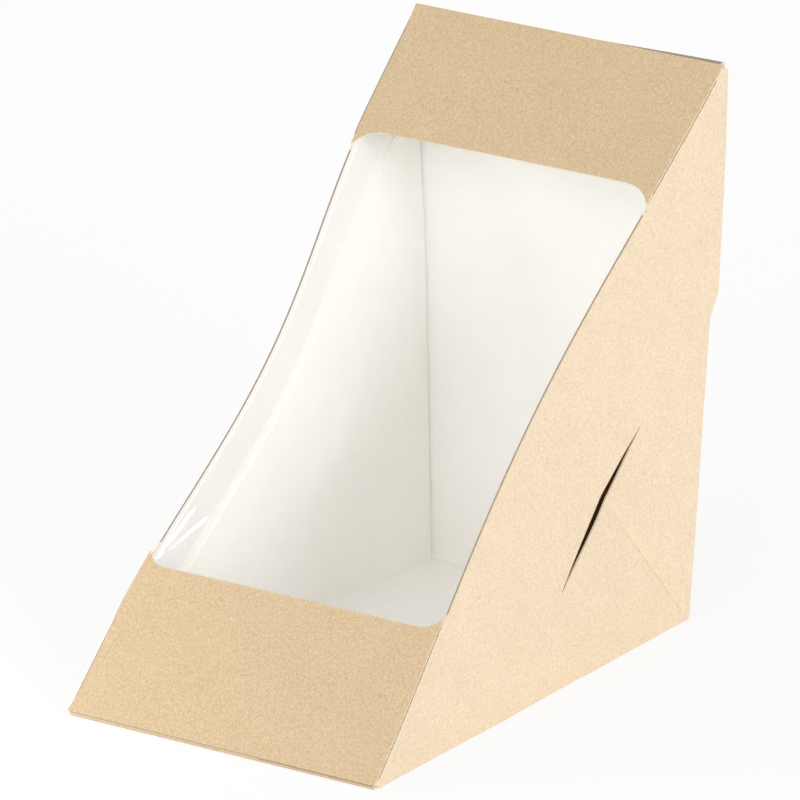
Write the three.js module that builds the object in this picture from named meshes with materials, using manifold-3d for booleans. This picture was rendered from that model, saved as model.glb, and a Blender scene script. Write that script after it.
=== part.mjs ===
// Sandwich box: a wedge of folded board with a clear window over its slanted front.
// Millimetres, +Z up, the window faces -Y, the box stands on its base.
// The shapes are drawn from the hinge corner, where base and back meet, and centred at the end.

import * as THREE from 'three';
import { mergeVertices } from 'three/addons/utils/BufferGeometryUtils.js';
import Module from 'manifold-3d';

const wasm = await Module();
wasm.setup();

// Overall form
const width = 74; // across the side walls at the foot of the front
const depth = 124.5; // from the plane of the back to the sharp front tip
const height = 121.2; // from the plane of the base to the sharp top tip
const topSplay = 0.45; // each side wall leans out this much more at the top tip
const cornerInset = 5.1; // each side wall stands in this much at the hinge corner

// Board
const board = 0.4; // thickness
const foldRadius = 0.5; // outside of a crease
const lap = 0.02; // glued layers run this far into each other

// Bow of the side walls along the window
const leftBow = 4.8;
const leftBowReach = 64; // half length of the bowed stretch
const rightBow = 4.9;
const rightBowReach = 100;
const bowCentre = -4; // along the slope, from the foot of the diagonal

// Front panel
const frontStart = 1.7; // bare fold of the base below the cut edge
const frontShort = 1.5; // the top cut edge stops short of the tip
const windowFoot = 36.5; // board below the window, up the slope
const windowTop = 141.5; // where the board above the window starts
const windowHalfWidth = 37; // in the flat board
const windowCorner = 9;
const windowWrap = 1.2; // the window runs this far round onto the side walls
const hemLength = 24; // flap of the base, glued behind the foot of the front

// Side walls
const slitDistance = 50; // from the hinge corner, square to the slope
const slitLow = -22.7; // ends of the open cut, along the slope
const slitHigh = 17.3;
const slitWidth = 1.3;
const lipRise = 0.4; // the lower lip of the cut stands proud
const lipReach = 6;
const shoulderLow = 65; // the free back edge steps out between these heights
const shoulderHigh = 71;
const shoulder = 2.4;
const shoulderTop = 0.5; // what is left of the step at the top tip
const wallFoot = 0.1; // the cut foot of a side wall hangs just clear of the table
const wallBack = 0.1; // the lower back edge stands just proud of the lid
const wallTip = 1; // the foot of a side wall ends this far behind the front's cut edge
const flapClearance = 2.8; // between a glued inner flap and the film's margin
const flapBackGap = 1.0; // between an inner flap and the plane of the back

// Lid, the back panel with its tuck flap
const hingeHeight = 1.05;
const hingeGap = 0.5;
const lidSideClearance = 0.5;
const tuckClearance = 0.3; // between the tuck flap and the front panel
const tuckLength = 18;
const tuckCorner = 7;
const tuckTaper = 1.5; // the flap is narrower than the lid on each side
const tuckShoulder = 4; // it narrows this far below the tip

// Film
const film = 0.1; // thickness
const filmClearance = 0.12;
const filmFoot = 27; // where the film starts and ends, up the slope
const filmTop = 149;
const filmMargin = 10; // glued onto the side walls past the front creases

// Slope of the front: along it, out of it, and its place from the hinge corner
const slope = Math.hypot(depth, height);
const along = { y: depth / slope, z: height / slope };
const out = { y: -height / slope, z: depth / slope };
const frontDistance = (depth * height) / slope;
const reachDown = (depth * depth) / slope;
const reachUp = (height * height) / slope;
const flapDistance = frontDistance - filmMargin - flapClearance;

// Fineness of the shapes
const foldSteps = 6; // flats round a crease
const cornerSteps = 10; // round a window corner
const slitSteps = 16;
const alongSteps = 20; // grid of a side wall, from the foot of its diagonal each way
const backSteps = 4; // from the hinge corner to the slit
const frontSteps = 7; // from the slit to the front crease
const gridEdge = 4; // the grid runs this far past the outlines
const slitMargin = 3; // its lines on the lower side of the slit
const gridSlip = 0.01; // keeps its lines off the faces of the board
const cutClear = 1; // cutting shapes stand this far out of what they cut
const weld = 1e-5;

// A point by its place up the slope from the front tip and its depth under the front's face
function onSlope(up, under) {
  return {
    y: -depth + along.y * up - out.y * under,
    z: along.z * up - out.z * under,
  };
}

// Side walls: half widths over a grid set along the slope and square to it
function smooth(t) {
  const c = Math.min(Math.max(t, 0), 1);
  return c * c * (3 - 2 * c);
}

function hump(t) {
  return Math.abs(t) < 1 ? Math.cos((Math.PI / 2) * t) ** 2 : 0;
}

function wallOffset(side, s, d) {
  const reach = s < 0 ? reachDown : reachUp;
  const m = Math.abs(s) / reach;
  const bow = side > 0 ? rightBow : leftBow;
  const bowReach = side > 0 ? rightBowReach : leftBowReach;
  const toFront = smooth((d - slitDistance) / (frontDistance - slitDistance));
  const creased = cornerInset * (1 - m);
  const bowed = bow * hump((s - bowCentre) / bowReach);
  const splay = s > 0 ? topSplay * smooth(m) : 0;
  return width / 2 + splay - (1 - toFront) * creased - toFront * bowed;
}

function lip(s, d) {
  const middle = (slitLow + slitHigh) / 2;
  const half = (slitHigh - slitLow) / 2;
  if (d >= slitDistance) return 0;
  return lipRise * hump((s - middle) / half) * Math.exp((d - slitDistance) / lipReach);
}

function creaseRound(d) {
  const left = frontDistance - d;
  if (left >= foldRadius) return 0;
  const c = foldRadius - Math.max(left, 0);
  return foldRadius - Math.sqrt(foldRadius * foldRadius - c * c);
}

function wall(side, s, d, under) {
  return wallOffset(side, s, d) + lip(s, d) - (under > 0 ? 0 : creaseRound(d)) - under;
}

function steps(from, to, count) {
  return Array.from({ length: count + 1 }, (_, i) => from + ((to - from) * i) / count);
}

const gridAlong = [
  ...steps(-reachDown - gridEdge, 0, alongSteps),
  ...steps(0, reachUp + gridEdge, alongSteps).slice(1),
];
const gridOut = [
  ...steps(-gridEdge, slitDistance - 2 * slitMargin, backSteps),
  slitDistance - slitMargin,
  slitDistance - slitWidth / 3,
  slitDistance + slitWidth / 3,
  ...steps(slitDistance + gridEdge, frontDistance - 2 * foldRadius, frontSteps),
  ...steps(frontDistance - foldRadius - gridSlip, frontDistance + 3 * gridSlip, backSteps),
  frontDistance + gridEdge,
];

// Solids
function solidFrom(geometry) {
  const bare = geometry.clone();
  bare.deleteAttribute('normal');
  bare.deleteAttribute('uv');
  const merged = mergeVertices(bare, weld);
  return new wasm.Manifold(
    new wasm.Mesh({
      numProp: 3,
      vertProperties: new Float32Array(merged.attributes.position.array),
      triVerts: new Uint32Array(merged.index.array),
    }),
  );
}

function geometryFrom(solid) {
  const mesh = solid.getMesh();
  const geometry = new THREE.BufferGeometry();
  geometry.setAttribute('position', new THREE.BufferAttribute(new Float32Array(mesh.vertProperties), 3));
  geometry.setIndex(new THREE.BufferAttribute(new Uint32Array(mesh.triVerts), 1));
  geometry.computeVertexNormals();
  return geometry;
}

// Everything between the two side walls, set in from their outer faces
function between(under) {
  const rows = gridAlong.length;
  const cols = gridOut.length;
  const points = [];
  for (const side of [1, -1]) {
    for (const s of gridAlong) {
      for (const d of gridOut) {
        const y = along.y * s + out.y * d;
        const z = along.z * s + out.z * d;
        points.push(side * wall(side, s, d, under), y, z);
      }
    }
  }
  const at = (side, i, j) => (side > 0 ? 0 : rows * cols) + i * cols + j;
  const faces = [];
  const quad = (a, b, c, d) => faces.push(a, b, c, a, c, d);
  for (let i = 0; i < rows - 1; i++) {
    for (let j = 0; j < cols - 1; j++) {
      quad(at(1, i, j), at(1, i + 1, j), at(1, i + 1, j + 1), at(1, i, j + 1));
      quad(at(-1, i, j), at(-1, i, j + 1), at(-1, i + 1, j + 1), at(-1, i + 1, j));
    }
  }
  for (let i = 0; i < rows - 1; i++) {
    quad(at(1, i + 1, 0), at(1, i, 0), at(-1, i, 0), at(-1, i + 1, 0));
    quad(at(1, i, cols - 1), at(1, i + 1, cols - 1), at(-1, i + 1, cols - 1), at(-1, i, cols - 1));
  }
  for (let j = 0; j < cols - 1; j++) {
    quad(at(1, 0, j), at(1, 0, j + 1), at(-1, 0, j + 1), at(-1, 0, j));
    quad(at(1, rows - 1, j + 1), at(1, rows - 1, j), at(-1, rows - 1, j), at(-1, rows - 1, j + 1));
  }
  const geometry = new THREE.BufferGeometry();
  geometry.setAttribute('position', new THREE.BufferAttribute(new Float32Array(points), 3));
  geometry.setIndex(faces);
  return solidFrom(geometry);
}

// A flat outline drawn in depth and height, carried across the width
function across(outline) {
  const shape = new THREE.Shape(outline.map((p) => new THREE.Vector2(p.y, p.z)));
  const geometry = new THREE.ExtrudeGeometry(shape, { depth: 2 * width, bevelEnabled: false });
  geometry.translate(0, 0, -width);
  geometry.applyMatrix4(
    new THREE.Matrix4().makeBasis(
      new THREE.Vector3(0, 1, 0),
      new THREE.Vector3(0, 0, 1),
      new THREE.Vector3(1, 0, 0),
    ),
  );
  return solidFrom(geometry);
}

// A shape drawn on the front panel's face, in width and up the slope, cut straight in
function intoFront(shape, above, under) {
  const geometry = new THREE.ExtrudeGeometry(shape, {
    depth: above + under,
    bevelEnabled: false,
    curveSegments: cornerSteps,
  });
  geometry.translate(0, 0, -under);
  geometry.applyMatrix4(
    new THREE.Matrix4().makeBasis(
      new THREE.Vector3(1, 0, 0),
      new THREE.Vector3(0, along.y, along.z),
      new THREE.Vector3(0, out.y, out.z),
    ),
  );
  const foot = onSlope(0, 0);
  geometry.translate(0, foot.y, foot.z);
  return solidFrom(geometry);
}

// A shape drawn on the side walls, along the slope and square to it, cut across the width
function intoSides(shape) {
  const geometry = new THREE.ExtrudeGeometry(shape, {
    depth: 2 * width,
    bevelEnabled: false,
    curveSegments: slitSteps,
  });
  geometry.translate(0, 0, -width);
  geometry.applyMatrix4(
    new THREE.Matrix4().makeBasis(
      new THREE.Vector3(0, along.y, along.z),
      new THREE.Vector3(0, out.y, out.z),
      new THREE.Vector3(1, 0, 0),
    ),
  );
  return solidFrom(geometry);
}

// The section of a folded strip of board: its outer face runs along the points, creased at the inner ones
function foldedStrip(points, radius, thickness) {
  const outer = [];
  const inner = [];
  const unit = (a, b) => {
    const l = Math.hypot(b.y - a.y, b.z - a.z);
    return { y: (b.y - a.y) / l, z: (b.z - a.z) / l };
  };
  const inward = (u) => ({ y: u.z, z: -u.y });
  const shift = (p, u, l) => ({ y: p.y + u.y * l, z: p.z + u.z * l });
  const last = points.length - 1;
  const first = inward(unit(points[0], points[1]));
  outer.push(points[0]);
  inner.push(shift(points[0], first, thickness));
  for (let i = 1; i < last; i++) {
    const a = unit(points[i - 1], points[i]);
    const b = unit(points[i], points[i + 1]);
    const turn = Math.acos(a.y * b.y + a.z * b.z);
    const tangent = radius * Math.tan(turn / 2);
    const start = shift(points[i], a, -tangent);
    const centre = shift(start, inward(a), radius);
    for (let k = 0; k <= foldSteps; k++) {
      const angle = (-turn * k) / foldSteps;
      const from = inward(a);
      const ray = {
        y: -(from.y * Math.cos(angle) - from.z * Math.sin(angle)),
        z: -(from.y * Math.sin(angle) + from.z * Math.cos(angle)),
      };
      outer.push(shift(centre, ray, radius));
      inner.push(shift(centre, ray, radius - thickness));
    }
  }
  const end = inward(unit(points[last - 1], points[last]));
  outer.push(points[last]);
  inner.push(shift(points[last], end, thickness));
  return [...outer, ...inner.reverse()];
}

// Outlines in depth and height
function sideOutline() {
  const rounding = steps(0, 1, foldSteps).map((t) => ({
    y: wallBack + (shoulder - wallBack) * smooth(t),
    z: shoulderLow + (shoulderHigh - shoulderLow) * t,
  }));
  return [
    { y: wallBack, z: wallFoot },
    ...rounding,
    { y: shoulderTop, z: height - frontShort },
    onSlope(slope - frontShort, 0),
    onSlope(frontStart, 0),
    { y: onSlope(frontStart, 0).y + wallTip, z: wallFoot },
  ];
}

function flapOutline() {
  return [
    { y: -flapBackGap, z: lap },
    { y: -flapBackGap, z: height },
    { y: -depth, z: height },
    { y: -depth, z: lap },
  ];
}

function beforeFront(start, end, from, to) {
  return [onSlope(start, from), onSlope(end, from), onSlope(end, to), onSlope(start, to)];
}

// Carton: base, front with its window, outer side walls and the flaps glued inside them
function windowShape() {
  const middle = (windowFoot + windowTop) / 2;
  const half = (windowTop - windowFoot) / 2;
  const w = windowHalfWidth;
  const r = windowCorner;
  const shape = new THREE.Shape();
  shape.moveTo(w, middle - half + r);
  shape.lineTo(w, middle + half - r);
  shape.absarc(w - r, middle + half - r, r, 0, Math.PI / 2, false);
  shape.absarc(-w + r, middle + half - r, r, Math.PI / 2, Math.PI, false);
  shape.absarc(-w + r, middle - half + r, r, Math.PI, 1.5 * Math.PI, false);
  shape.absarc(w - r, middle - half + r, r, 1.5 * Math.PI, 2 * Math.PI, false);
  return shape;
}

function slitShape() {
  const shape = new THREE.Shape();
  const middle = (slitLow + slitHigh) / 2;
  shape.moveTo(slitLow, slitDistance);
  shape.quadraticCurveTo(middle, slitDistance - slitWidth, slitHigh, slitDistance);
  shape.quadraticCurveTo(middle, slitDistance + slitWidth, slitLow, slitDistance);
  return shape;
}

function makeCarton() {
  const outerFace = between(0);
  const innerFace = between(board);
  const joined = between(board - lap);
  const flapFace = between(2 * board);

  const sides = outerFace
    .subtract(innerFace)
    .intersect(across(sideOutline()))
    .subtract(intoSides(slitShape()));
  const front = across(beforeFront(frontStart, slope - frontShort, 0, board)).intersect(joined);
  const hemFace = board - lap;
  const hemLine = onSlope(0, hemFace);
  const foot = { y: hemLine.y - (along.y / along.z) * hemLine.z, z: 0 };
  const base = across(
    foldedStrip(
      [{ y: 0, z: hingeHeight - hingeGap / 2 }, { y: 0, z: 0 }, foot, onSlope(hemLength, hemFace)],
      foldRadius,
      board,
    ),
  ).intersect(joined);
  const reach = intoSides(
    new THREE.Shape([
      new THREE.Vector2(-reachDown, -gridEdge),
      new THREE.Vector2(reachUp, -gridEdge),
      new THREE.Vector2(reachUp, flapDistance),
      new THREE.Vector2(-reachDown, flapDistance),
    ]),
  );
  const flaps = joined.subtract(flapFace).intersect(across(flapOutline())).intersect(reach);
  const window = intoFront(windowShape(), cutClear, windowWrap);
  return sides.add(front).add(base).subtract(window).add(flaps);
}

// Lid: the back panel, hinged at the base, with the flap that tucks in behind the front
function makeLid() {
  const under = board + tuckClearance;
  const top = { y: 0, z: height - under / along.y };
  const tuckEnd = onSlope(slope - tuckLength, under);
  const strip = foldedStrip(
    [tuckEnd, top, { y: 0, z: hingeHeight + hingeGap / 2 }],
    foldRadius,
    board,
  );
  const body = across(strip).intersect(between(board + lidSideClearance));
  const corner = (side) => {
    const x = side * (width / 2 - board - lidSideClearance - tuckTaper);
    const low = slope - tuckLength;
    const high = slope - tuckShoulder;
    const shape = new THREE.Shape();
    shape.moveTo(side * width, low - cutClear);
    shape.lineTo(side * width, high);
    shape.lineTo(x, high);
    shape.lineTo(x, low + tuckCorner);
    shape.quadraticCurveTo(x, low, x - side * tuckCorner, low);
    shape.lineTo(x - side * tuckCorner, low - cutClear);
    return intoFront(shape, 0, under + 2 * board);
  };
  return body.subtract(corner(1)).subtract(corner(-1));
}

// Film: lies behind the window and turns onto the side walls
function makeFilm() {
  const under = board + filmClearance;
  const outer = across(beforeFront(filmFoot, filmTop, under, filmMargin)).intersect(between(under));
  const hollow = beforeFront(filmFoot - cutClear, filmTop + cutClear, under + film, filmMargin + cutClear);
  return outer.subtract(across(hollow).intersect(between(under + film)));
}

const kraft = new THREE.MeshStandardMaterial({ color: 0xd9c29c, roughness: 0.85, metalness: 0 });
const kraftLid = new THREE.MeshStandardMaterial({ color: 0xcdb58e, roughness: 0.85, metalness: 0 });
const clear = new THREE.MeshStandardMaterial({
  color: 0xf4f7f7,
  roughness: 0.08,
  metalness: 0,
  transparent: true,
  opacity: 0.2,
});

function named(name, solid, material) {
  const mesh = new THREE.Mesh(geometryFrom(solid), material);
  mesh.name = name;
  return mesh;
}

const sandwichBox = new THREE.Group();
sandwichBox.add(
  named('carton', makeCarton(), kraft),
  named('lid', makeLid(), kraftLid),
  named('window_film', makeFilm(), clear),
);

// The origin lies under the middle of the whole box
const bounds = new THREE.Box3().setFromObject(sandwichBox);
for (const mesh of sandwichBox.children) {
  mesh.geometry.translate(0, -(bounds.min.y + bounds.max.y) / 2, -bounds.min.z);
}

export default sandwichBox;
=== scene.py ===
import math

import bpy
from mathutils import Matrix, Vector
from mathutils.geometry import area_tri, delaunay_2d_cdt
from mathutils.kdtree import KDTree


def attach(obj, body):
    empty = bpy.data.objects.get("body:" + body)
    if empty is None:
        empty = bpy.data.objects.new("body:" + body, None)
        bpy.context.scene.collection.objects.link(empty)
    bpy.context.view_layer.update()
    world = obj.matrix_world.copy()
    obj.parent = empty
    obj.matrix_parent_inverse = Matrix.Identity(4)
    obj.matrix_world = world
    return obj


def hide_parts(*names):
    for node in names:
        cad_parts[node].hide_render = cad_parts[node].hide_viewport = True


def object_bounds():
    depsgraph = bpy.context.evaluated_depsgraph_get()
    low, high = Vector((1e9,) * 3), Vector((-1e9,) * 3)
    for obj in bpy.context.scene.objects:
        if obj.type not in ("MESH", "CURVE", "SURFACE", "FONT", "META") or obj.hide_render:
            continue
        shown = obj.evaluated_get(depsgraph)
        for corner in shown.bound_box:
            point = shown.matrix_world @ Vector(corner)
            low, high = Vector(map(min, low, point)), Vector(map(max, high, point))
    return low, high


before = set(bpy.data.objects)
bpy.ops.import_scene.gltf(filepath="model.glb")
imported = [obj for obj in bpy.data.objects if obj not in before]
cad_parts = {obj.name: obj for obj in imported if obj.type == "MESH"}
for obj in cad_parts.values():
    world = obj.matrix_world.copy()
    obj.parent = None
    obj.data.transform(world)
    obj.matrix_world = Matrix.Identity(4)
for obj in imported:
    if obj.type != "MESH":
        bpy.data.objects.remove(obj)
cad_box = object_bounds()

MM = 0.001

# Sizes of the box in millimetres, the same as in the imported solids
WIDTH = 74.0  # across the side walls at the foot of the front
DEPTH = 124.5  # from the plane of the back to the sharp front tip
HEIGHT = 121.2  # from the plane of the base to the sharp top tip
TOP_SPLAY = 0.45  # each side wall leans out this much more at the top tip
CORNER_INSET = 5.1  # each side wall stands in this much at the hinge corner
BOARD = 0.4  # thickness
FOLD_RADIUS = 0.5
LEFT_BOW, LEFT_BOW_REACH = 4.8, 64.0
RIGHT_BOW, RIGHT_BOW_REACH = 4.9, 100.0
BOW_CENTRE = -4.0  # along the slope, from the foot of the diagonal
FRONT_START = 1.7  # bare fold of the base below the front's cut edge
FRONT_SHORT = 1.5  # the top cut edge stops short of the tip
WINDOW_FOOT, WINDOW_TOP = 36.5, 141.5  # ends of the window, up the slope
WINDOW_WRAP = 1.2  # the window runs this far round onto the side walls
HEM_LENGTH = 24.0
SLIT_DISTANCE = 50.0  # from the hinge corner, square to the slope
SLIT_LOW, SLIT_HIGH = -22.7, 17.3  # ends of the slit, along the slope
SHOULDER_LOW, SHOULDER_HIGH = 65.0, 71.0  # the free back edge steps out between these heights
SHOULDER, SHOULDER_TOP = 2.4, 0.5
WALL_FOOT = 0.1
WALL_BACK = 0.1
FLAP_CLEARANCE = 2.8  # between an inner flap and the film's margin
FLAP_BACK_GAP = 1.0
HINGE_HEIGHT, HINGE_GAP = 1.05, 0.5
TUCK_CLEARANCE, TUCK_LENGTH = 0.3, 18.0
TUCK_CORNER, TUCK_TAPER = 7.0, 1.5
FILM_CLEARANCE = 0.12
FILM_FOOT, FILM_TOP, FILM_MARGIN = 27.0, 149.0, 10.0

# Fine forms in millimetres, left out of the solids or simpler there
CORNER_LOW, CORNER_HIGH = 5.5, 7.5  # window corners of the lower and the upper band
CORNER_END = 0.5  # a window corner runs out in the side crease at this angle
CORNER_HOLE = 1.2  # a side wall stops this far below the front's top edge
NOTCH_LOW, NOTCH_HIGH = 2.0, 2.2  # the wall's notch starts this far inside the window's ends
NOTCH_RUN, NOTCH_STEP, NOTCH_SLANT = 1.4, 0.4, 2.5
RIDGE_GAP = 0.06  # between a side wall and the front's inner face
WALL_TIP, WALL_TOE = 0.2, 3.2  # a wall ends this far behind the front's cut edge, and its foot behind the tip
SLIT_WIDTH = 1.1
LIP_RISE, LIP_REACH = 0.8, 7.0  # the lower lip of the slit stands proud
SLIT_HOLLOW = 1.2  # the inner layer stands off the wall behind the slit
HOLLOW_PAST, HOLLOW_REACH = 8.0, 11.0
CREASE_DEPTH, CREASE_HALF = 0.26, 0.4
CREASE_START, CREASE_STOP = 1.0, 4.0  # its groove stays this far from the hinge corner and from the slit
CREASE_FADE_IN, CREASE_FADE_OUT = 4.0, 6.0
CREASE_LINES = (-0.9, -0.5, -0.11, 0.11, 0.5, 0.9)
CREASE_HIGHLIGHT_HALF, CREASE_HIGHLIGHT_START, CREASE_HIGHLIGHT_STOP = 0.12, 9.0, 7.0  # painted highlight: the crease is coloured pale along its middle
RIDGE_RISE, RIDGE_PLACE, RIDGE_HALF = 0.12, 0.9, 0.6  # board pressed up beside the crease
BUCKLE_RISE, BUCKLE_BACK, BUCKLE_FRONT = 0.12, 12.0, 14.0  # slight waves in the side walls
LONG_WAVE, SHORT_WAVE = (17.0, 19.0), (9.0, 11.0)  # along the slope and square to it
SEAM_GAP, SEAM_RUN, SEAM_DEPTH = 0.28, 0.12, 0.3  # dark line of painted shade under the front's cut edge
SEAM_LOW, SEAM_HIGH = 1.5, 4.0  # it stops this far from the front's ends
FLAP_REACH, FLAP_CORNER, FLAP_GAP = 62.0, 1.0, 0.04
TRIM_HIGH, TRIM_LOW = 0.55, 0.5  # the front is cut this much narrower at the left, in two places
TRIM_HIGH_START, TRIM_LOW_END = 130.0, 27.0
FRONT_CROWN, CROWN_FADE = 0.35, 12.0
FRONT_TILT = -0.5  # the top cut edge drops this much to the right
HEM_SLIP = 0.01
BASE_CLEAR = 0.02  # between the base and the side walls
BEAD_SETBACK, BEAD_THICKNESS = 0.03, 0.12  # bead of board that closes the hinge crease
BEAD_HEIGHTS = (0.36, 1.0, 1.7)
FOOT_SHADE_REACH, FOOT_LOW, FOOT_HIGH, FOOT_LEAN = 3.0, 0.70, 0.95, 0.2  # dark line of painted shade along the foot of the front
LID_SIDE, LID_FOOT = 0.05, 0.9
LID_RISE, RISE_START, RISE_RUN = 0.55, -5.0, 42.0  # the lid's top fold stands up towards the right
RISE_FOOT, RISE_HEIGHT = 100.0, 18.0
TUCK_RISE_END, TUCK_RISE_RUN = 16.0, 14.0
TUCK_START, TAPER_RUN = 0.6, 3.0  # the tuck flap counts from this far in front of the lid's outer face
LID_BULGE, BULGE_HEIGHT, BULGE_REACH, BULGE_HALF = 0.9, 70.0, 45.0, 34.0
LID_FADE, LID_FLAT_TOP = 12.0, 118.0
LID_SHADE_LEVEL = 118.85  # the top fold has painted shade above this height
FILM_BEND = 1.6
FILM_GAP = 0.1  # between the film's margin and the side walls
FILM_SAG, SAG_FADE, FILM_SLIP = 0.25, 20.0, 0.02
FAN_FOOT, FAN_START, FAN_END = (-34.0, 37.0), 0.5, 24.0  # folds that fan out from the lower left corner
FAN_FADE_IN, FAN_FADE_OUT = 3.0, 14.0
FAN_FOLDS = ((1.30, 0.10, 0.34), (1.00, 0.13, 0.50), (0.62, 0.14, 0.50), (0.30, 0.12, 0.30))
FAINT_FOLDS = ((26.0, 0.10, 0.10), (29.5, 0.08, 0.12), (22.0, 0.14, 0.06))
FAINT_LEVEL, FAINT_HALF, FAINT_MIDDLE, FAINT_REACH = 134.0, 0.8, 128.0, 9.0
SIDE_RIDGE, SIDE_RIDGE_IN, SIDE_RIDGE_HALF = 0.26, 1.3, 0.7
SIDE_RIDGE_LOW, SIDE_RIDGE_HIGH = 42.0, 92.0

# Fineness of the meshes in millimetres and columns
WALL_SPACING, FLAP_SPACING, FRONT_SPACING = 1.2, 1.5, 1.0
PANEL_SPACING = 2.0
BASE_STEP, LID_STEP = 0.4, 1.5
STRIP_COLUMNS = 24
LINE_STEPS = 40
FILM_ROWS, FILM_COLUMNS = 160, 220
SLIVER = 0.001  # a flat triangle about this low lies along a straight border and isn't kept
SHARP_ANGLE = math.radians(40)

# Looks of the board's faces, as places in a piece's list of materials
# One look is painted light: lighter kraft on the side walls.
# One look is painted shade: dark brown kraft behind the slit.
# One look is painted shade: darker kraft for shaded lines and the lid's top fold.
OUTER, INNER, RIM, PAINTED_DEEP_SHADE, PAINTED_LIGHT_WALL, PAINTED_SHADE = range(6)
# The lid's look for painted shade on its top fold.
LID_PAINTED_SHADE = 3

# Film and levels of the light
FILM_INDEX = 1.5
FLOOR_GLOW = 0.8
WORLD_LEVEL = 0.66

# Camera at the photograph's angle: its distance in metres, its lens in millimetres
CAMERA_AZIMUTH, CAMERA_ELEVATION = math.radians(33.42), math.radians(17.87)
CAMERA_ROLL = math.radians(1.02)
CAMERA_DISTANCE = 1.896
CAMERA_LENS, CAMERA_SENSOR = 425.4, 36.0
CAMERA_SLIDE = (0.19 * MM, -2.69 * MM)
AIM_DEPTH, AIM_HEIGHT = 61.5, 60.0  # the point it looks at, in millimetres from the hinge corner

# The slope of the front, from the hinge corner
SLOPE = math.hypot(DEPTH, HEIGHT)
ALONG = (DEPTH / SLOPE, HEIGHT / SLOPE)
OUT = (-HEIGHT / SLOPE, DEPTH / SLOPE)
FRONT_DISTANCE = DEPTH * HEIGHT / SLOPE
REACH_DOWN = DEPTH * DEPTH / SLOPE
REACH_UP = HEIGHT * HEIGHT / SLOPE
FLAP_DISTANCE = FRONT_DISTANCE - FILM_MARGIN - FLAP_CLEARANCE
SEAM = FRONT_DISTANCE - BOARD - SEAM_GAP
SLIT_MIDDLE, SLIT_HALF = (SLIT_LOW + SLIT_HIGH) / 2, (SLIT_HIGH - SLIT_LOW) / 2

# The hinge corner's place in the frame, because the shoulder is the rearmost point of the box
HINGE_Y = cad_box[1].y / MM - SHOULDER


def smooth(t):
    """An even rise from 0 to 1."""
    c = min(max(t, 0.0), 1.0)
    return c * c * (3 - 2 * c)


def hump(t):
    """A round rise to 1 in the middle, gone at -1 and 1."""
    return math.cos(math.pi / 2 * t) ** 2 if abs(t) < 1 else 0.0


def bell(t):
    """A rise to 1 in the middle that fades out to both sides."""
    return math.exp(-t * t)


def wall_offset(side, s, d):
    """Half width of the box at a place along the slope and square to it."""
    reach = REACH_DOWN if s < 0 else REACH_UP
    m = abs(s) / reach
    bow, bow_reach = (RIGHT_BOW, RIGHT_BOW_REACH) if side > 0 else (LEFT_BOW, LEFT_BOW_REACH)
    to_front = smooth((d - SLIT_DISTANCE) / (FRONT_DISTANCE - SLIT_DISTANCE))
    creased = CORNER_INSET * (1 - m)
    bowed = bow * hump((s - BOW_CENTRE) / bow_reach)
    splay = TOP_SPLAY * smooth(m) if s > 0 else 0.0
    return WIDTH / 2 + splay - (1 - to_front) * creased - to_front * bowed


def lip(s, d):
    """The board below the slit stands proud of the wall."""
    if d >= SLIT_DISTANCE:
        return 0.0
    return LIP_RISE * hump((s - SLIT_MIDDLE) / SLIT_HALF) * math.exp((d - SLIT_DISTANCE) / LIP_REACH)


def hollow(s, d):
    """The inner layer has sprung away from the wall behind the slit."""
    along = hump((s - SLIT_MIDDLE) / (SLIT_HALF + HOLLOW_PAST))
    return lip(s, d) + SLIT_HOLLOW * along * hump((d - SLIT_DISTANCE) / HOLLOW_REACH)


def crease_groove(s, d):
    """The pressed diagonal line from the hinge corner to the middle of the slit."""
    fade = smooth((d - CREASE_START) / CREASE_FADE_IN)
    fade *= smooth((SLIT_DISTANCE - CREASE_STOP - d) / CREASE_FADE_OUT)
    groove = CREASE_DEPTH * bell(s / CREASE_HALF) * fade
    return groove - RIDGE_RISE * bell((s - RIDGE_PLACE) / RIDGE_HALF) * fade


def buckle(side, s, d):
    """Slight unevenness of the board, gone at its corners."""
    fade = smooth(d / BUCKLE_BACK) * smooth((FRONT_DISTANCE - d) / BUCKLE_FRONT)
    wave = math.sin(s / LONG_WAVE[0] + side) * math.cos(d / LONG_WAVE[1] - side * 0.7)
    wave += 0.5 * math.sin(s / SHORT_WAVE[0] - d / SHORT_WAVE[1])
    return BUCKLE_RISE * fade * wave


def seam(side, d):
    """The right wall's board turns in under the front's cut edge; the dark line there is painted shade."""
    return SEAM_DEPTH * smooth((d - SEAM) / SEAM_RUN) if side > 0 else 0.0


def wall(side, s, d, under):
    """Half width of the box with its wall's fine forms, at a depth under the outer face."""
    face = wall_offset(side, s, d) + lip(s, d) - crease_groove(s, d) + buckle(side, s, d) - seam(side, d)
    return face - under


def wall_point(side, s, d, under):
    """A place on a side wall, in the frame."""
    y = ALONG[0] * s + OUT[0] * d
    z = ALONG[1] * s + OUT[1] * d
    return Vector((side * wall(side, s, d, under), HINGE_Y + y, z)) * MM


def slope_point(x, up, under):
    """A place on the front, in the frame: up the slope from the sharp front tip."""
    y = -DEPTH + ALONG[0] * up - OUT[0] * under
    z = ALONG[1] * up - OUT[1] * under
    return Vector((x, HINGE_Y + y, z)) * MM


def to_wall(y, z):
    """A place in depth and height, from the hinge corner, as along the slope and square to it."""
    return (y * ALONG[0] + z * ALONG[1], y * OUT[0] + z * OUT[1])


def front_half(side, up):
    """Half width of the front at a place up the slope."""
    return wall_offset(side, up - REACH_DOWN, FRONT_DISTANCE)


# Materials
def new_material(name, roughness, specular):
    """A material with its node tree and its shader."""
    material = bpy.data.materials.new(name)
    material.use_nodes = True
    shader = material.node_tree.nodes["Principled BSDF"]
    shader.inputs["Roughness"].default_value = roughness
    shader.inputs["Specular IOR Level"].default_value = specular
    return material, material.node_tree, shader


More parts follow.
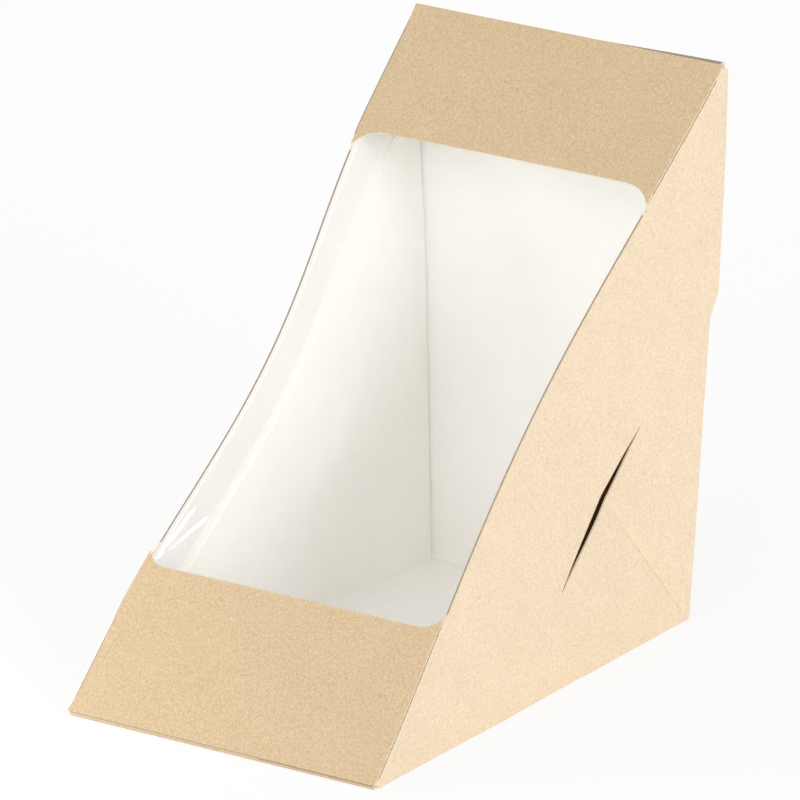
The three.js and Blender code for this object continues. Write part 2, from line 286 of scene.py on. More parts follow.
def node(tree, kind, **inputs):
    made = tree.nodes.new(kind)
    for key, value in inputs.items():
        made.inputs[key.replace("_", " ")].default_value = value
    return made


def noise(tree, vector, scale, detail, rough):
    made = node(tree, "ShaderNodeTexNoise", Scale=scale, Detail=detail, Roughness=rough)
    tree.links.new(vector, made.inputs["Vector"])
    return made.outputs["Fac"]


def stretched(tree, scale):
    """The object's own coordinates, in metres, times a scale for each axis."""
    coords = tree.nodes.new("ShaderNodeTexCoord")
    mapping = tree.nodes.new("ShaderNodeMapping")
    mapping.inputs["Scale"].default_value = scale
    tree.links.new(coords.outputs["Object"], mapping.inputs["Vector"])
    return mapping.outputs["Vector"]


def ramp(tree, factor, stops):
    made = tree.nodes.new("ShaderNodeValToRGB")
    elements = made.color_ramp.elements
    while len(elements) < len(stops):
        elements.new(0.5)
    for element, (place, colour) in zip(elements, stops):
        element.position = place
        element.color = (*colour, 1.0)
    tree.links.new(factor, made.inputs["Fac"])
    return made.outputs["Color"]


def multiplied(tree, factor, a, b):
    made = tree.nodes.new("ShaderNodeMix")
    made.data_type = "RGBA"
    made.blend_type = "MULTIPLY"
    made.inputs["Factor"].default_value = factor
    tree.links.new(a, made.inputs["A"])
    tree.links.new(b, made.inputs["B"])
    return made.outputs["Result"]


def bumped(tree, shader, height, strength, distance):
    made = node(tree, "ShaderNodeBump", Strength=strength, Distance=distance)
    tree.links.new(height, made.inputs["Height"])
    tree.links.new(made.outputs["Normal"], shader.inputs["Normal"])


def kraft_material(name, low, high):
    """Unbleached kraft: fine mottled fibres, a few darker flecks and soft clouding."""
    material, tree, shader = new_material(name, 0.8, 0.25)
    plain = stretched(tree, (1, 1, 1))
    fibres = noise(tree, stretched(tree, (2600, 1500, 1500)), 1.0, 3.0, 0.65)
    mottle = noise(tree, plain, 2800.0, 2.0, 0.7)
    clouds = noise(tree, plain, 90.0, 3.0, 0.5)
    flecks = noise(tree, stretched(tree, (1500, 800, 800)), 1.0, 2.0, 0.5)
    base = ramp(tree, fibres, [(0.30, low), (0.72, high)])
    spots = ramp(tree, mottle, [(0.34, (0.84, 0.815, 0.77)), (0.60, (1.0, 1.0, 1.0))])
    cloud = ramp(tree, clouds, [(0.3, (0.97, 0.965, 0.955)), (0.7, (1.0, 1.0, 1.0))])
    dark = ramp(tree, flecks, [(0.22, (0.76, 0.70, 0.62)), (0.30, (1.0, 1.0, 1.0))])
    colour = multiplied(tree, 0.9, base, spots)
    colour = multiplied(tree, 1.0, colour, cloud)
    colour = multiplied(tree, 0.5, colour, dark)
    tree.links.new(colour, shader.inputs["Base Color"])
    bumped(tree, shader, fibres, 0.16, 0.00006)
    return material


def liner_material():
    """White lining: smooth, with a faint satin sheen and barely any tone."""
    material, tree, shader = new_material("white_liner", 0.5, 0.35)
    soft = noise(tree, stretched(tree, (1, 1, 1)), 240.0, 3.0, 0.5)
    colour = ramp(tree, soft, [(0.3, (0.926, 0.911, 0.882)), (0.7, (0.944, 0.929, 0.900))])
    tree.links.new(colour, shader.inputs["Base Color"])
    bumped(tree, shader, soft, 0.08, 0.00010)
    return material


def edge_material():
    """Cut edge of the board: pale fibres in layers."""
    material, tree, shader = new_material("board_edge", 0.9, 0.2)
    layers = noise(tree, stretched(tree, (2200, 900, 2200)), 1.0, 3.0, 0.6)
    colour = ramp(tree, layers, [(0.3, (0.60, 0.47, 0.31)), (0.7, (0.83, 0.72, 0.55))])
    tree.links.new(colour, shader.inputs["Base Color"])
    bumped(tree, shader, layers, 0.3, 0.0001)
    return material


def shaded_material():
    """Dark brown kraft as painted shade: the kraft between the glued layers, where next to no light comes."""
    material, tree, shader = new_material("kraft_painted_deep_shade", 0.95, 0.05)
    grain = noise(tree, stretched(tree, (1, 1, 1)), 1500.0, 2.0, 0.5)
    colour = ramp(tree, grain, [(0.3, (0.21, 0.12, 0.055)), (0.7, (0.30, 0.18, 0.09))])
    tree.links.new(colour, shader.inputs["Base Color"])
    return material


def film_material():
    """Clear film: see-through from both sides, with a sharp gloss that grows at a slant."""
    material = bpy.data.materials.new("clear_film")
    material.use_nodes = True
    tree = material.node_tree
    tree.nodes.remove(tree.nodes["Principled BSDF"])
    output = tree.nodes["Material Output"]
    clear = tree.nodes.new("ShaderNodeBsdfTransparent")
    clear.inputs["Color"].default_value = (0.985, 0.99, 0.99, 1)
    gloss = tree.nodes.new("ShaderNodeBsdfGlossy")
    gloss.inputs["Roughness"].default_value = 0.04
    gloss.inputs["Color"].default_value = (1, 1, 1, 1)
    amount = node(tree, "ShaderNodeFresnel")
    side = tree.nodes.new("ShaderNodeNewGeometry")
    index = node(tree, "ShaderNodeMapRange")
    index.inputs["To Min"].default_value = FILM_INDEX
    index.inputs["To Max"].default_value = 1 / FILM_INDEX
    tree.links.new(side.outputs["Backfacing"], index.inputs["Value"])
    tree.links.new(index.outputs["Result"], amount.inputs["IOR"])
    mix = tree.nodes.new("ShaderNodeMixShader")
    tree.links.new(amount.outputs["Fac"], mix.inputs["Fac"])
    tree.links.new(clear.outputs["BSDF"], mix.inputs[1])
    tree.links.new(gloss.outputs["BSDF"], mix.inputs[2])
    tree.links.new(mix.outputs["Shader"], output.inputs["Surface"])
    return material


KRAFT = kraft_material("kraft_board", (0.535, 0.397, 0.240), (0.690, 0.538, 0.352))
# Darker, greyer kraft as painted shade: for the dark lines under the front's cut edges, round the window and
# along the foot of the front, and for the lid's top fold.
KRAFT_PAINTED_SHADE = kraft_material("kraft_painted_shade", (0.30, 0.225, 0.165), (0.42, 0.325, 0.245))
# Lighter, paler copy of the kraft for the side walls: painted light for the stronger light and sheen on the
# side walls. The board is the same as the front's.
KRAFT_PAINTED_LIGHT = kraft_material("kraft_painted_light", (0.775, 0.625, 0.452), (0.890, 0.748, 0.568))
LINER = liner_material()
EDGE = edge_material()
SHADED = shaded_material()
FILM = film_material()


# Panels of board, cut from a flat outline and then laid in place
def resample(outline, spacing):
    """The outline with points no further apart than the spacing."""
    points = []
    for i, a in enumerate(outline):
        b = outline[(i + 1) % len(outline)]
        count = max(1, math.ceil(math.dist(a, b) / spacing))
        for k in range(count):
            t = k / count
            points.append((a[0] + (b[0] - a[0]) * t, a[1] + (b[1] - a[1]) * t))
    return points


def inside(point, outline):
    """Whether a point lies within an outline."""
    x, y = point
    found = False
    j = len(outline) - 1
    for i in range(len(outline)):
        (xi, yi), (xj, yj) = outline[i], outline[j]
        if (yi > y) != (yj > y) and x < (xj - xi) * (y - yi) / (yj - yi) + xi:
            found = not found
        j = i
    return found


def triangulate(outline, holes, spacing, lines):
    """Flat triangles that fill the outline, leave the holes open and follow the lines."""
    loops = [outline, *holes]
    points, edges = [], []
    for loop in loops:
        start = len(points)
        points += loop
        edges += [(start + i, start + (i + 1) % len(loop)) for i in range(len(loop))]
    for line in lines:
        start = len(points)
        points += line
        edges += [(start + i, start + i + 1) for i in range(len(line) - 1)]
    tree = KDTree(len(points))
    for i, (a, b) in enumerate(points):
        tree.insert((a, b, 0), i)
    tree.balance()

    def within(p):
        return inside(p, outline) and not any(inside(p, hole) for hole in holes)

    low = (min(p[0] for p in outline), min(p[1] for p in outline))
    high = (max(p[0] for p in outline), max(p[1] for p in outline))
    row_share, room = 0.87, spacing * 0.6
    rows = int((high[1] - low[1]) / (spacing * row_share)) + 1
    columns = int((high[0] - low[0]) / spacing) + 1
    extra = []
    for j in range(rows):
        for i in range(columns):
            p = (low[0] + (i + 0.5 * (j % 2)) * spacing, low[1] + j * spacing * row_share)
            if tree.find((*p, 0))[2] > room and within(p):
                extra.append(p)
    verts, _, faces, *_ = delaunay_2d_cdt([Vector(p) for p in points + extra], edges, [], 0, 1e-6)
    kept = []
    for face in faces:
        corners = [verts[i] for i in face]
        middle = sum(corners, Vector((0, 0))) / len(face)
        longest = max((corners[k] - corners[k - 1]).length for k in range(3))
        on_border = area_tri(*corners) < SLIVER * longest
        if not on_border and within(middle):
            kept.append(list(face))
    return [tuple(v) for v in verts], kept


class Sheets:
    """Collects panels of board into one mesh: kraft outside, white inside, bare edges."""

    def __init__(self):
        self.points, self.faces, self.looks, self.smooth = [], [], [], []

    def add(self, outline, place, holes=(), lines=(), flip=False, looks=(OUTER, INNER, RIM), special=None):
        """A panel between its outer and its inner face, with the look that special gives to some places."""
        flat, triangles = triangulate(outline, holes, PANEL_SPACING, lines)
        start, count = len(self.points), len(flat)
        self.points += [place(a, b, 0.0) for a, b in flat]
        self.points += [place(a, b, BOARD) for a, b in flat]
        seen = {}
        for a, b, c in triangles:
            u, v, w = (flat[i] for i in (a, b, c))
            turn = (v[0] - u[0]) * (w[1] - u[1]) - (v[1] - u[1]) * (w[0] - u[0])
            if (turn < 0) != flip:
                b, c = c, b
            middle = [sum(flat[i][k] for i in (a, b, c)) / 3 for k in (0, 1)]
            own = special(*middle) if special else None
            self.put((start + a, start + b, start + c), looks[0] if own is None else own, True)
            self.put((start + count + a, start + count + c, start + count + b), looks[1], True)
            for e in ((a, b), (b, c), (c, a)):
                if (e[1], e[0]) in seen:
                    del seen[(e[1], e[0])]
                else:
                    seen[e] = True
        for a, b in seen:
            own = special(flat[a][0], min(flat[a][1], flat[b][1])) if special else None
            rim = (start + b, start + a, start + count + a, start + count + b)
            self.put(rim, looks[2] if own is None else own, False)

    def put(self, face, look, is_smooth):
        self.faces.append(face)
        self.looks.append(look)
        self.smooth.append(is_smooth)

    def strip(self, sections, looks, close=False):
        """Quads between successive rows of points."""
        start, width = len(self.points), len(sections[0])
        for row in sections:
            self.points += row
        for i in range(len(sections) - 1):
            for j in range(width if close else width - 1):
                k = (j + 1) % width
                a, b = start + i * width + j, start + i * width + k
                self.put((a, b, b + width, a + width), looks[j], True)

    def recolour(self, look, chosen):
        """Gives the kraft faces at some places another look."""
        for i, face in enumerate(self.faces):
            middle = sum((self.points[k] for k in face), Vector()) / len(face) / MM
            if self.looks[i] == OUTER and chosen(middle):
                self.looks[i] = look

    def build(self, name, materials):
        mesh = bpy.data.meshes.new(name)
        mesh.from_pydata([tuple(p) for p in self.points], [], self.faces)
        for material in materials:
            mesh.materials.append(material)
        for polygon, look, is_smooth in zip(mesh.polygons, self.looks, self.smooth):
            polygon.material_index = look
            polygon.use_smooth = is_smooth
        mesh.update()
        mesh.validate()
        mesh.set_sharp_from_angle(angle=SHARP_ANGLE)
        piece = bpy.data.objects.new(name, mesh)
        bpy.context.scene.collection.objects.link(piece)
        return piece


def arc(centre, radius, start, end, count):
    """Points round a circle, from one angle to another."""
    return [
        (
            centre[0] + radius * math.cos(start + (end - start) * k / count),
            centre[1] + radius * math.sin(start + (end - start) * k / count),
        )
        for k in range(count + 1)
    ]


# Side walls
def slit_outline():
    """A slender ellipse, as the open slit is."""
    count = 24
    angles = [math.pi * k / count for k in range(count + 1)]
    upper = [
        (SLIT_MIDDLE + SLIT_HALF * math.cos(angle), SLIT_DISTANCE + SLIT_WIDTH / 2 * math.sin(angle))
        for angle in angles
    ]
    lower = [(2 * SLIT_MIDDLE - a, 2 * SLIT_DISTANCE - b) for a, b in upper[1:-1]]
    return upper + lower


def shoulder_at(z):
    """How far the side wall's back edge stands behind the lid at a height."""
    if z < SHOULDER_HIGH:
        step = smooth((z - SHOULDER_LOW) / (SHOULDER_HIGH - SHOULDER_LOW))
        return WALL_BACK + (SHOULDER - WALL_BACK) * step
    t = (z - SHOULDER_HIGH) / (HEIGHT - FRONT_SHORT - SHOULDER_HIGH)
    return SHOULDER + (SHOULDER_TOP - SHOULDER) * t


def side_outline():
    """Clockwise from the hinge corner: up the free back edge, down the slope, along the foot."""
    top = HEIGHT - FRONT_SHORT - CORNER_HOLE
    count = 60
    heights = [WALL_FOOT + (top - WALL_FOOT) * k / count for k in range(count + 1)]
    back = [to_wall(shoulder_at(z), z) for z in heights]
    ridge = FRONT_DISTANCE - BOARD - RIDGE_GAP
    window_low = WINDOW_FOOT - REACH_DOWN + NOTCH_LOW
    window_high = WINDOW_TOP - REACH_DOWN - NOTCH_HIGH
    cut = FRONT_DISTANCE - WINDOW_WRAP
    down = [
        (SLOPE - FRONT_SHORT - CORNER_HOLE - REACH_DOWN, ridge),
        (window_high + NOTCH_RUN, ridge),
        (window_high, ridge - NOTCH_STEP),
        (window_high - NOTCH_SLANT, cut),
        (window_low + NOTCH_SLANT, cut),
        (window_low, ridge - NOTCH_STEP),
        (window_low - NOTCH_RUN, ridge),
        (FRONT_START + WALL_TIP - REACH_DOWN, ridge),
    ]
    foot = to_wall(-DEPTH + WALL_TOE, WALL_FOOT)
    return back + down + [foot]


def straight(start, end):
    """Evenly spaced points from one place to another."""
    return [
        tuple(a + (b - a) * k / LINE_STEPS for a, b in zip(start, end))
        for k in range(LINE_STEPS + 1)
    ]


def crease_lines():
    """Lines along the pressed diagonal, close together so that its groove shows."""
    low, high = 1.5, SLIT_DISTANCE - 3
    return [straight((s, low), (s, high)) for s in CREASE_LINES]


def wall_look(s, d):
    """Painted shade, in brown, under the front's cut edge and round the window; a painted highlight, pale,
    along the pressed crease.
    """
    inset, slip = 5, 0.05
    beside_window = WINDOW_FOOT + inset < s + REACH_DOWN < WINDOW_TOP - inset
    if d > SEAM or (beside_window and d > FRONT_DISTANCE - WINDOW_WRAP - slip):
        return PAINTED_SHADE
    # A painted highlight in the pale cut-edge colour along the middle of the crease.
    on_crease_highlight = abs(s) < CREASE_HIGHLIGHT_HALF and CREASE_HIGHLIGHT_START < d < SLIT_DISTANCE - CREASE_HIGHLIGHT_STOP
    return RIM if on_crease_highlight else None


def flap_look(s, d):
    """The inner flap shows its brown side in the slit, painted dark brown as painted shade."""
    beside, past = 6, 3
    near = abs(d - SLIT_DISTANCE) < beside and SLIT_LOW - past < s < SLIT_HIGH + past
    return PAINTED_DEEP_SHADE if near else None


def seam_lines():
    """Lines along the front's cut edges, below and above the window."""
    spans = (
        (FRONT_START - REACH_DOWN + SEAM_LOW, WINDOW_FOOT - REACH_DOWN),
        (WINDOW_TOP - REACH_DOWN, SLOPE - FRONT_SHORT - REACH_DOWN - SEAM_HIGH),
    )
    return [straight((low, d), (high, d)) for low, high in spans for d in (SEAM, SEAM + SEAM_RUN)]


def add_wall(sheets, side):
    sheets.add(
        resample(side_outline(), WALL_SPACING),
        lambda s, d, under: wall_point(side, s, d, under),
        holes=[resample(slit_outline(), WALL_SPACING)],
        lines=crease_lines() + seam_lines(),
        flip=side < 0,
        # The side walls' outer face takes the lighter kraft, which is painted light.
        looks=(PAINTED_LIGHT_WALL, INNER, RIM),
        special=wall_look,
    )


def add_flap(sheets, side):
    """The base's inner flap, glued to the inside of a side wall."""
    back, top = -FLAP_BACK_GAP, FLAP_DISTANCE
    outline = [
        to_wall(back, BOARD),
        to_wall(back, (top + FLAP_BACK_GAP * -OUT[0]) / OUT[1] - FLAP_CORNER),
        (to_wall(back, 0)[0] + FLAP_REACH, top),
        (-FLAP_REACH, top),
        to_wall(-top / -OUT[0] + FLAP_CORNER, BOARD),
    ]
    sheets.add(
        resample(outline, FLAP_SPACING),
        lambda s, d, under: wall_point(side, s, d, BOARD + FLAP_GAP + hollow(s, d) + under),
        flip=side < 0,
        looks=(INNER, INNER, INNER),
        special=flap_look,
    )


# Front panel: the bands above and below the window
def left_trim(up):
    """The front is cut a little narrower than the box along its left edge, so that the wall shows."""
    high = smooth((up - TRIM_HIGH_START) / 10) * smooth((SLOPE - up) / 8)
    low = smooth((up - 1) / 5) * smooth((TRIM_LOW_END - up) / 8)
    return TRIM_HIGH * high + TRIM_LOW * low


def edge_x(side, up):
    """The front's side edge at a place up the slope."""
    return side * front_half(side, up) + (left_trim(up) if side < 0 else 0.0)


def front_point(x, up, under):
    """The front panel is not quite flat: the bands crown a little across the width."""
    half = (front_half(1, up) + front_half(-1, up)) / 2
    crown = FRONT_CROWN * (1 - min(1.0, (x / half) ** 2))
    crown = crown * smooth(up / CROWN_FADE) * smooth((SLOPE - up) / CROWN_FADE)
    return slope_point(x, up, under - crown)


def band(start, window, radius, end_tilt):
    """A band of the front, from its straight cut edge to the window's rounded corners in the side creases.

    The start is the cut edge's place up the slope at the left, the tilt its change over the width.
    """
    away = 1 if window > start else -1
    count, corner_count = 16, 12
    edge = window + away * radius * (1 - math.sin(CORNER_END))
    ups = [start + (edge - start) * k / count for k in range(count + 1)]
    right = [(edge_x(1, up), up) for up in ups]
    left = [(edge_x(-1, up), up) for up in reversed(ups)]
    right[0] = (right[0][0], start + end_tilt)
    centre = window + away * radius
    turn = math.pi / 2 * away
    x_right = edge_x(1, edge) - radius * math.cos(CORNER_END)
    x_left = edge_x(-1, edge) + radius * math.cos(CORNER_END)
    corner_right = arc((x_right, centre), radius, -CORNER_END * away, -turn, corner_count)
    corner_left = arc((x_left, centre), radius, -turn, -math.pi * away + CORNER_END * away, corner_count)
    return right + corner_right[1:] + corner_left[:-1] + left


def add_front(sheets):
    lower = band(FRONT_START, WINDOW_FOOT, CORNER_LOW, 0.0)
    upper = band(SLOPE - FRONT_SHORT, WINDOW_TOP, CORNER_HIGH, FRONT_TILT)
    for outline in (lower, upper):
        sheets.add(resample(outline, FRONT_SPACING), front_point)


# Folded strips: base with its hem, and the lid with its tuck flap
def folded_rows(points, step):
    """Outer and inner face points along a strip folded at its inner points, in depth and height."""
    rows = []

    def unit(a, b):
        length = math.dist(a, b)
        return ((b[0] - a[0]) / length, (b[1] - a[1]) / length)

    def inward(u):
        return (u[1], -u[0])

    def push(p, n):
        rows.append((p, (p[0] + n[0] * BOARD, p[1] + n[1] * BOARD)))

    def run(a, b, n):
        count = max(1, math.ceil(math.dist(a, b) / step))
        for k in range(count + 1):
            t = k / count
            push((a[0] + (b[0] - a[0]) * t, a[1] + (b[1] - a[1]) * t), n)

    radius = FOLD_RADIUS
    current = points[0]
    for i in range(1, len(points) - 1):
        a, b = unit(points[i - 1], points[i]), unit(points[i], points[i + 1])
        turn = math.acos(a[0] * b[0] + a[1] * b[1])
        tangent = radius * math.tan(turn / 2)
        start = (points[i][0] - a[0] * tangent, points[i][1] - a[1] * tangent)
        n = inward(a)
        run(current, start, n)
        centre = (start[0] + n[0] * radius, start[1] + n[1] * radius)
        count = 8
        for k in range(1, count + 1):
            angle = -turn * k / count
            ray = (
                -(n[0] * math.cos(angle) - n[1] * math.sin(angle)),
                -(n[0] * math.sin(angle) + n[1] * math.cos(angle)),
            )
            p = (centre[0] + ray[0] * radius, centre[1] + ray[1] * radius)
            push(p, (-ray[0], -ray[1]))
        current = rows[-1][0]
    run(current, points[-1], inward(unit(points[-2], points[-1])))
    return rows


def add_strip(sheets, rows, sides, shift=None, looks=(OUTER, INNER, RIM)):
    """A folded strip as one closed sheet; the shift moves its points in depth and height."""
    across = STRIP_COLUMNS
    sections = []
    for outer, inner in rows:
        low, high = sides(outer)
        xs = [low + (high - low) * k / across for k in range(across + 1)]
        shifts = [shift(x, outer) if shift else (0.0, 0.0) for x in xs]
        across_outer, across_inner = (
            [Vector((x, HINGE_Y + y + dy, z + dz)) * MM for x, (dy, dz) in zip(xs, shifts)]
            for y, z in (outer, inner)
        )
        sections.append(across_outer + across_inner[::-1])
    outer_look, inner_look, rim_look = looks
    loop_looks = [outer_look] * across + [rim_look] + [inner_look] * across + [rim_look]
    start, width = len(sheets.points), len(sections[0])
    sheets.strip(sections, loop_looks, close=True)
    for end, row in ((0, 0), (1, len(sections) - 1)):
        base = start + row * width
        for k in range(across):
            face = (base + k, base + k + 1, base + width - 2 - k, base + width - 1 - k)
            sheets.put(face if end else face[::-1], rim_look, False)


def on_slope(up, under):
    """Depth and height of a place up the slope, at a depth under the front's outer face."""
    return (-DEPTH + ALONG[0] * up - OUT[0] * under, ALONG[1] * up - OUT[1] * under)


def add_base(sheets):
    hem = on_slope(0, BOARD)
    foot = (hem[0] - ALONG[0] / ALONG[1] * hem[1], 0.0)
    hem_end = on_slope(HEM_LENGTH, BOARD + HEM_SLIP)
    rows = folded_rows([(0.0, HINGE_HEIGHT - HINGE_GAP / 2), (0.0, 0.0), foot, hem_end], BASE_STEP)

    def sides(outer):
        s, d = to_wall(*outer)
        return (-wall_offset(-1, s, d) + BOARD + BASE_CLEAR, wall_offset(1, s, d) - BOARD - BASE_CLEAR)

    add_strip(sheets, rows, sides)
    face = -BOARD - BEAD_SETBACK
    bead = [((face, z), (face - BEAD_THICKNESS, z)) for z in BEAD_HEIGHTS]
    add_strip(sheets, bead, sides, looks=(INNER, INNER, INNER))


def at_foot_line(p):
    """Whether a place lies on the dark line of painted shade along the foot of the front."""
    at_foot = p.y < HINGE_Y - DEPTH + FOOT_SHADE_REACH
    return at_foot and FOOT_LOW - FOOT_LEAN * p.x / WIDTH < p.z < FOOT_HIGH


def make_carton():
    sheets = Sheets()
    for side in (1, -1):
        add_wall(sheets, side)
        add_flap(sheets, side)
    add_front(sheets)
    add_base(sheets)
    # Painted shade: a dark line along the foot of the front.
    sheets.recolour(PAINTED_SHADE, at_foot_line)
    carton = sheets.build("carton_board", [KRAFT, LINER, EDGE, SHADED, KRAFT_PAINTED_LIGHT, KRAFT_PAINTED_SHADE])
    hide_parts("carton")
    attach(carton, "carton")


# Lid
def lid_rise(x):
    """How far the lid's top fold stands up at a place across it."""
    return LID_RISE * smooth((x - RISE_START) / RISE_RUN)


def lid_crown(x, outer):
    """The back panel bulges a little, and its top fold stands up towards the right."""
    y, z = outer
    bulge = LID_BULGE * bell((z - BULGE_HEIGHT) / BULGE_REACH) * (1 - min(1.0, (x / BULGE_HALF) ** 2))
    bulge = bulge * smooth(z / LID_FADE) * smooth((LID_FLAT_TOP - z) / LID_FADE)
    rise = lid_rise(x) * smooth((z - RISE_FOOT) / RISE_HEIGHT)
    rise *= smooth((TUCK_RISE_END + y) / TUCK_RISE_RUN)
    return (bulge, rise)


def add_lid(sheets):
    under = BOARD + TUCK_CLEARANCE
    top = (0.0, HEIGHT - under / ALONG[0])
    tuck_end = on_slope(SLOPE - TUCK_LENGTH, under)
    rows = folded_rows([tuck_end, top, (0.0, LID_FOOT)], LID_STEP)

    def sides(outer):
        s, d = to_wall(*outer)
        side = BOARD + LID_SIDE
        if outer[0] < -TUCK_START:
            near_end = max(0.0, TUCK_CORNER - math.dist(outer, tuck_end))
            cut = TUCK_CORNER - math.sqrt(max(0.0, TUCK_CORNER**2 - near_end**2))
            side += TUCK_TAPER * smooth((top[1] - outer[1]) / TAPER_RUN) + cut
        return (-wall_offset(-1, s, d) + side, wall_offset(1, s, d) - side)

    add_strip(sheets, rows, sides, shift=lid_crown)


def make_lid():
    sheets = Sheets()
    add_lid(sheets)
    # Painted shade on the lid's top fold, which stands behind the front's top edge.
    sheets.recolour(LID_PAINTED_SHADE, lambda p: p.z - lid_rise(p.x) > LID_SHADE_LEVEL)
    lid = sheets.build("lid_board", [KRAFT, LINER, EDGE, KRAFT_PAINTED_SHADE])
    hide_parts("lid")
    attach(lid, "lid")


# Film: flat behind the window, turned over onto the side walls
def film_fan(x, up):
    """Small folds that fan out from the window's lower left corner: direction, half width and height."""
    across, rise = x - FAN_FOOT[0], up - FAN_FOOT[1]
    r = math.hypot(across, rise)
    if r <= FAN_START:
        return 0.0
    angle = math.atan2(rise, across)
    reach_in, reach_out = smooth(r / FAN_FADE_IN), smooth((FAN_END - r) / FAN_FADE_OUT)
    total = 0.0
    for direction, half, height in FAN_FOLDS:
        total += height * bell((angle - direction) / half) * reach_in * reach_out
    return total


def film_wrinkle(x, up):
    """The fan of folds, faint folds at the upper right, and a ridge beside the right edge."""
    total = film_fan(x, up)
    for place, lean, height in FAINT_FOLDS:
        fold = place + lean * (up - FAINT_LEVEL)
        total += height * bell((x - fold) / FAINT_HALF) * bell((up - FAINT_MIDDLE) / FAINT_REACH)
    ridge = SIDE_RIDGE * bell((x - front_half(1, up) + SIDE_RIDGE_IN) / SIDE_RIDGE_HALF)
    return total + ridge * smooth((up - SIDE_RIDGE_LOW) / 8) * smooth((SIDE_RIDGE_HIGH - up) / 12)


def film_edge(side, up):
    """Half width of the room for the film between the side walls."""
    return wall_offset(side, up - REACH_DOWN, FRONT_DISTANCE) - BOARD - FILM_GAP


def film_point(w, up, under):
    """A place on the film: w runs across the width and on down the side walls."""
    side = 1 if w >= 0 else -1
    flat = film_edge(side, up) - FILM_BEND
    bend = FILM_BEND * math.pi / 2
    a = abs(w)
    if a <= flat:
        sag = FILM_SAG * (1 - (w / flat) ** 2)
        sag = sag * smooth((up - FILM_FOOT) / SAG_FADE) * smooth((FILM_TOP - up) / SAG_FADE)
        return slope_point(w, up, under + sag - film_wrinkle(w, up) + FILM_SLIP)
    if a <= flat + bend:
        t = (a - flat) / FILM_BEND
        x = flat + FILM_BEND * math.sin(t)
        return slope_point(side * x, up, under + FILM_BEND * (1 - math.cos(t)))
    down = FILM_BEND + (a - flat - bend)
    return wall_point(side, up - REACH_DOWN, FRONT_DISTANCE - under - down, BOARD + FILM_GAP)


def make_film():
    under = BOARD + FILM_CLEARANCE
    ups = [FILM_FOOT + (FILM_TOP - FILM_FOOT) * k / FILM_ROWS for k in range(FILM_ROWS + 1)]
    sections = []
    for up in ups:
        row = []
        for k in range(FILM_COLUMNS + 1):
            share = -1 + 2 * k / FILM_COLUMNS
            edge = film_edge(1 if share >= 0 else -1, up)
            half = edge - FILM_BEND + FILM_BEND * math.pi / 2 + FILM_MARGIN - FILM_BEND
            row.append(film_point(share * half, up, under))
        sections.append(row)
    sheets = Sheets()
    sheets.strip(sections, [OUTER] * FILM_COLUMNS)
    film = sheets.build("clear_window", [FILM])
    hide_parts("window_film")
    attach(film, "carton")


# Room: pale floor, soft lamps and the camera at the photograph's angle
def light_path(tree):
    """One where a ray from the camera, or by way of a gloss or the film, meets the surface."""
    paths = tree.nodes.new("ShaderNodeLightPath")
    seen = paths.outputs["Is Camera Ray"]
    for name in ("Is Glossy Ray", "Is Transmission Ray"):
        either = tree.nodes.new("ShaderNodeMath")
        either.operation = "MAXIMUM"
        tree.links.new(seen, either.inputs[0])
        tree.links.new(paths.outputs[name], either.inputs[1])
        seen = either.outputs[0]
    return seen


def floor_material():
    """Pale floor that keeps the shadow and shows white to the camera."""
    material, tree, shader = new_material("floor_white", 0.9, 0.0)
    shader.inputs["Base Color"].default_value = (0.95, 0.95, 0.95, 1)
    glow = tree.nodes.new("ShaderNodeEmission")
    glow.inputs["Color"].default_value = (1, 1, 1, 1)
    glow.inputs["Strength"].default_value = 1.0
    share = tree.nodes.new("ShaderNodeMath")
    share.operation = "MULTIPLY"
    share.inputs[1].default_value = FLOOR_GLOW
    tree.links.new(light_path(tree), share.inputs[0])
    mix = tree.nodes.new("ShaderNodeMixShader")
    tree.links.new(share.outputs[0], mix.inputs["Fac"])
    tree.links.new(shader.outputs["BSDF"], mix.inputs[1])
    tree.links.new(glow.outputs["Emission"], mix.inputs[2])
    tree.links.new(mix.outputs["Shader"], tree.nodes["Material Output"].inputs["Surface"])
    return material


def make_floor():
    """A wide floor, a hair below the box so that the two don't meet in one plane."""
    reach, drop = 4.0, 0.05 * MM
    corners = [(-reach, -reach, 0), (reach, -reach, 0), (reach, reach, 0), (-reach, reach, 0)]
    mesh = bpy.data.meshes.new("floor")
    mesh.from_pydata(corners, [], [(0, 1, 2, 3)])
    floor = bpy.data.objects.new("floor", mesh)
    bpy.context.scene.collection.objects.link(floor)
    floor.location.z = -drop
    mesh.materials.append(floor_material())


def add_sun(name, toward, level, spread):
    """A soft far lamp: level 1 lights a white sheet that faces it to plain white."""
    data = bpy.data.lights.new(name, "SUN")
    data.energy = level * math.pi
    data.angle = math.radians(spread)
    lamp = bpy.data.objects.new(name, data)
    bpy.context.scene.collection.objects.link(lamp)
    lamp.rotation_mode = "QUATERNION"
    lamp.rotation_quaternion = Vector(toward).to_track_quat("Z", "Y")


def add_near_lamp(name, place, target, level, size):
    """A soft small lamp beside the box: level as for the sun, at the target."""
    data = bpy.data.lights.new(name, "AREA")
    data.shape = "DISK"
    data.size = size
    reach = Vector(place) - Vector(target)
    data.energy = level * math.pi**2 * reach.length_squared
    lamp = bpy.data.objects.new(name, data)
    bpy.context.scene.collection.objects.link(lamp)
    lamp.location = place
    lamp.rotation_mode = "QUATERNION"
    lamp.rotation_quaternion = reach.to_track_quat("Z", "Y")


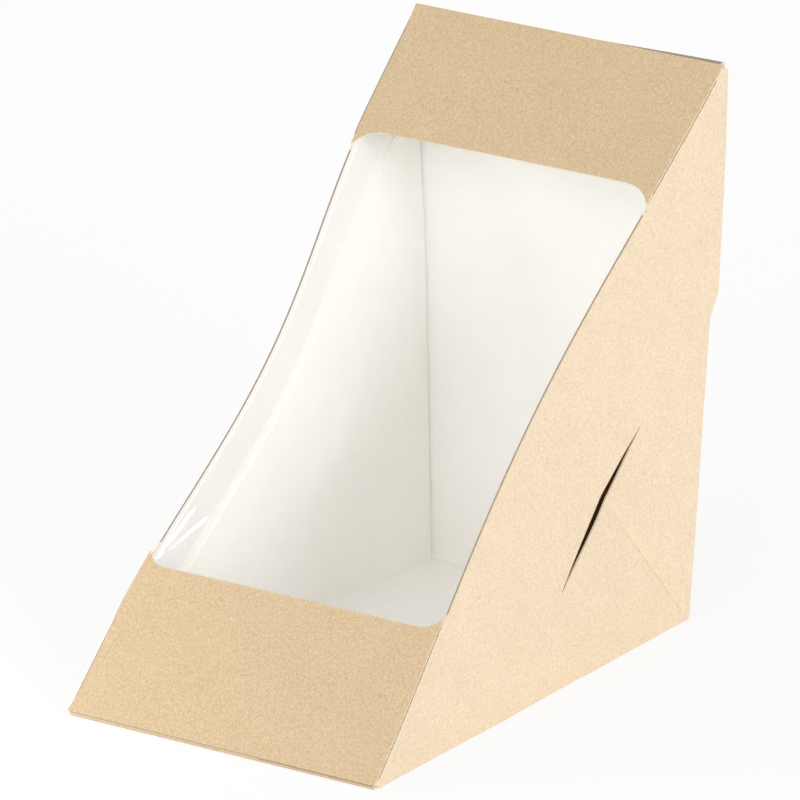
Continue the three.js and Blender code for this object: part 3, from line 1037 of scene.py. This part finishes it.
def make_world():
    """Even light all round, which shows as white to the camera."""
    world = bpy.data.worlds.new("studio")
    bpy.context.scene.world = world
    world.use_nodes = True
    tree = world.node_tree
    background = tree.nodes["Background"]
    background.inputs["Color"].default_value = (1, 1, 1, 1)
    strength = tree.nodes.new("ShaderNodeMapRange")
    strength.inputs["To Min"].default_value = WORLD_LEVEL
    strength.inputs["To Max"].default_value = 1.0
    tree.links.new(light_path(tree), strength.inputs["Value"])
    tree.links.new(strength.outputs["Result"], background.inputs["Strength"])


def make_camera():
    """A long lens from the front right, a little above the box."""
    a, e, roll = CAMERA_AZIMUTH, CAMERA_ELEVATION, CAMERA_ROLL
    back = Vector((math.sin(a) * math.cos(e), -math.cos(a) * math.cos(e), math.sin(e)))
    level = Vector((math.cos(a), math.sin(a), 0))
    rise = back.cross(level)
    right = math.cos(roll) * level + math.sin(roll) * rise
    up = -math.sin(roll) * level + math.cos(roll) * rise
    aim = Vector((0, (HINGE_Y - AIM_DEPTH) * MM, AIM_HEIGHT * MM))
    eye = aim + back * CAMERA_DISTANCE + right * CAMERA_SLIDE[0] + up * CAMERA_SLIDE[1]
    data = bpy.data.cameras.new("camera")
    data.sensor_width = CAMERA_SENSOR
    data.lens = CAMERA_LENS
    data.clip_start, data.clip_end = 0.05, 50.0
    camera = bpy.data.objects.new("camera", data)
    bpy.context.scene.collection.objects.link(camera)
    rows = [(right[k], up[k], back[k], eye[k]) for k in range(3)]
    camera.matrix_world = Matrix([*rows, (0, 0, 0, 1)])
    bpy.context.scene.camera = camera


make_camera()
make_carton()
make_lid()
make_film()
make_floor()
make_world()
add_sun("key", toward=(0.90, -0.33, 0.28), level=0.44, spread=32)
add_sun("front", toward=(0.05, -0.94, 0.32), level=0.26, spread=45)
add_sun("glint", toward=(-0.78, -0.02, 0.62), level=0.12, spread=16)
add_near_lamp("foot", place=(-0.12, -0.17, 0.06), target=(-0.036, -0.060, 0.005), level=0.36, size=0.06)
bpy.context.scene.cycles.diffuse_bounces = 10
bpy.context.scene.view_settings.view_transform = "Standard"
